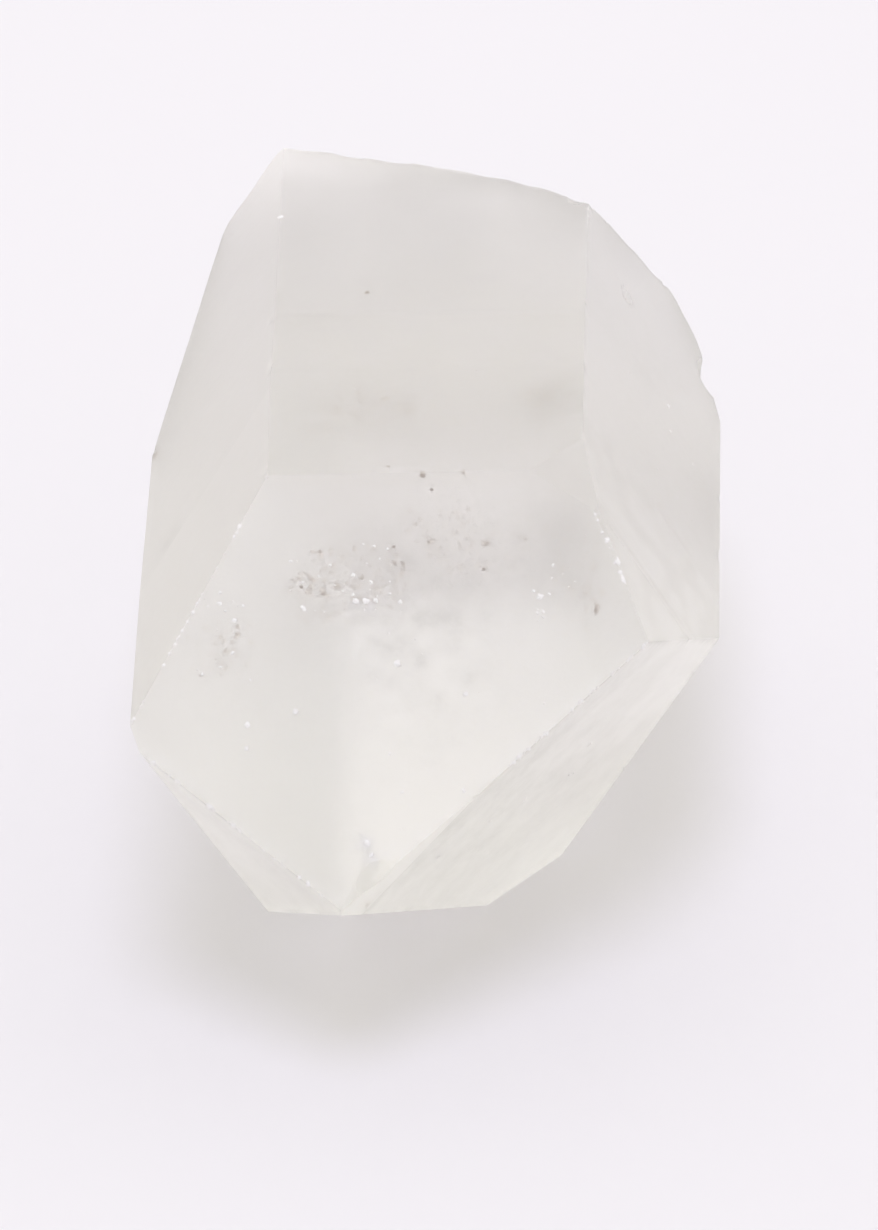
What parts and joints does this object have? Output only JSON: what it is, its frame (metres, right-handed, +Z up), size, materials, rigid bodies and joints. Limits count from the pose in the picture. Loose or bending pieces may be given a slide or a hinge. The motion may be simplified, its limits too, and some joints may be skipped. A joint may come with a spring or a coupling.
{
  "type": "quartz point",
  "caption": "Single clear quartz crystal lying on one flat side: a short, wide six-sided prism with an off-centre pointed end and a broken base.",
  "frame": {"origin": "centre of the bounding box's bottom face, on the surface that the crystal lies on", "axes": "+Z up, away from the flat prism face underneath; -Y towards the pointed end; +X to the right as seen from the pointed end"},
  "size_m": [0.0286, 0.0456, 0.0246],
  "materials": {
    "clear_quartz": "natural crystal faces, glossy, with faint growth ledges; rough fracture at the base"
  },
  "bodies": {
    "root": {"quartz_point": "clear_quartz"}
  },
  "joints": []
}
